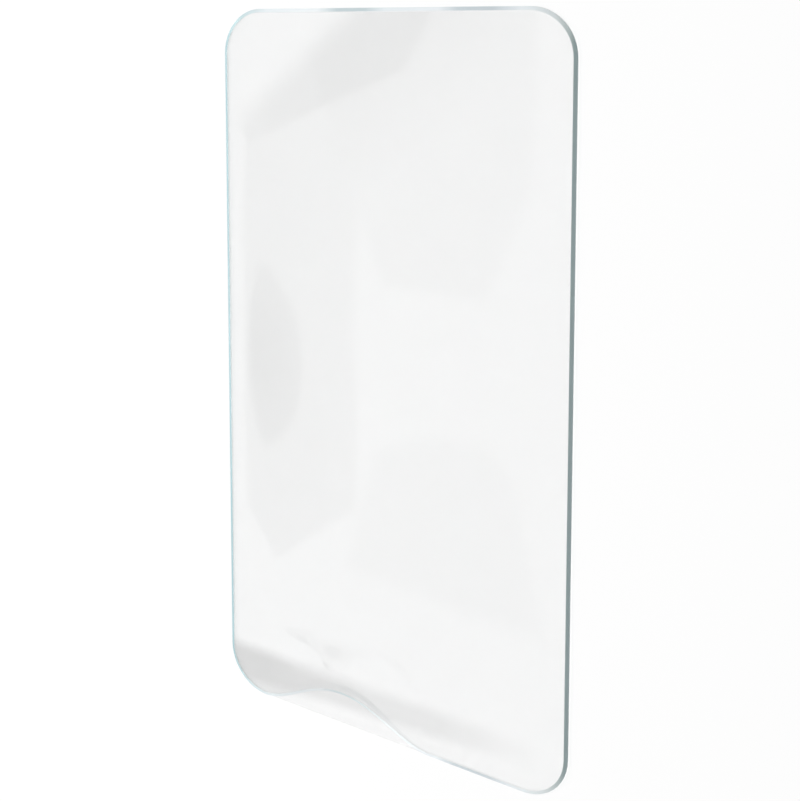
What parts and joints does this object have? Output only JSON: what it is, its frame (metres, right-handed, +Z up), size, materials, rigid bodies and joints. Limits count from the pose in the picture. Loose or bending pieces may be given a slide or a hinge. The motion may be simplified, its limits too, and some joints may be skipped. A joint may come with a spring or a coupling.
{
  "type": "phone screen protector",
  "caption": "Clear rounded screen protector film with a sloping rim, lying on its flat clear backing liner, its lower edge lifted in a low ripple.",
  "frame": {"origin": "middle of the outline, at the underside of the backing liner", "axes": "+Y along the long side towards the top edge, +Z up out of the front face, +X to the right seen from the front"},
  "size_m": [0.077, 0.144, 0.002],
  "materials": {
    "clear_film": "gloss",
    "clear_liner": "gloss"
  },
  "bodies": {
    "root": {"protector_film": "clear_film", "backing_liner": "clear_liner"}
  },
  "joints": []
}
